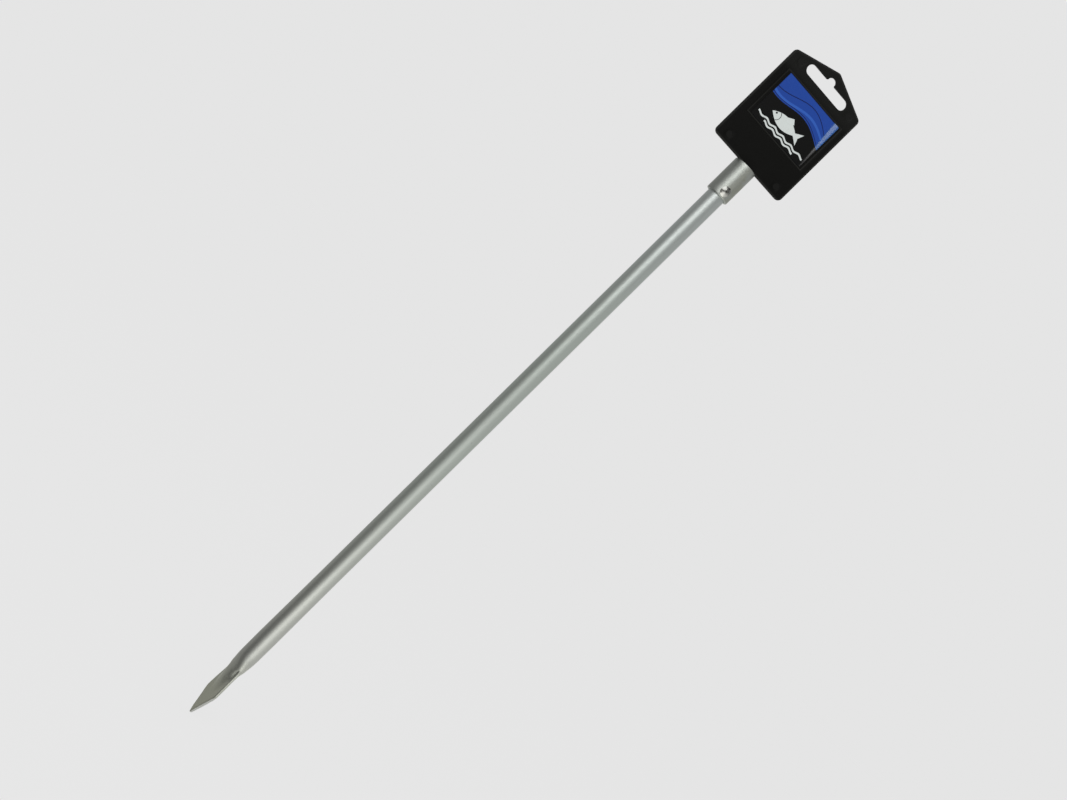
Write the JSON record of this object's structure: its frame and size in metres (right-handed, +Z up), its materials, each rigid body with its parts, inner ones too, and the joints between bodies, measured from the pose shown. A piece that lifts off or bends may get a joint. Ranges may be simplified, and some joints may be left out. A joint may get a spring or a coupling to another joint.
{
  "type": "bank stick",
  "caption": "Fishing bank stick: an aluminium tube pressed flat into a spear, with a riveted threaded head that holds a screw-in hang card with a display slot.",
  "frame": {"origin": "the point of the spear, on the axis of the tube", "axes": "+Z up along the stick from the point to the hang card, -Y out of the front of the hang card, where the label is, +X to the right as seen from the front"},
  "size_m": [0.0596, 0.0174, 0.5413],
  "materials": {
    "tube": "drawn tube, satin, with fine lengthwise draw lines",
    "head": "turned sleeve, satin, a little stained",
    "rivet": "bright pressed",
    "mandrel": "broken wire end, dull",
    "card": "moulded, fine satin",
    "label": "laminated print, glossy"
  },
  "bodies": {
    "stick": {"spear_tube": "tube", "threaded_head": "head", "rivet_body": "rivet", "rivet_mandrel": "mandrel"},
    "stud": {"card_stud": "card"},
    "card": {"hang_card": "card", "card_label": "label"}
  },
  "joints": [
    {"name": "card_turn", "type": "hinge", "parent": "stud", "child": "card", "pos_m": [0, 0, 0.4627], "axis": [0, 0, 1], "range_deg": [0, 2520]},
    {"name": "card_rise", "type": "slide", "parent": "stick", "child": "stud", "axis": [0, 0, 1], "range_m": [0, 0.0089]}
  ],
  "couplings": [
    {"joint": "card_rise", "follows": "card_turn", "m_per_rad": 0.00020213}
  ]
}
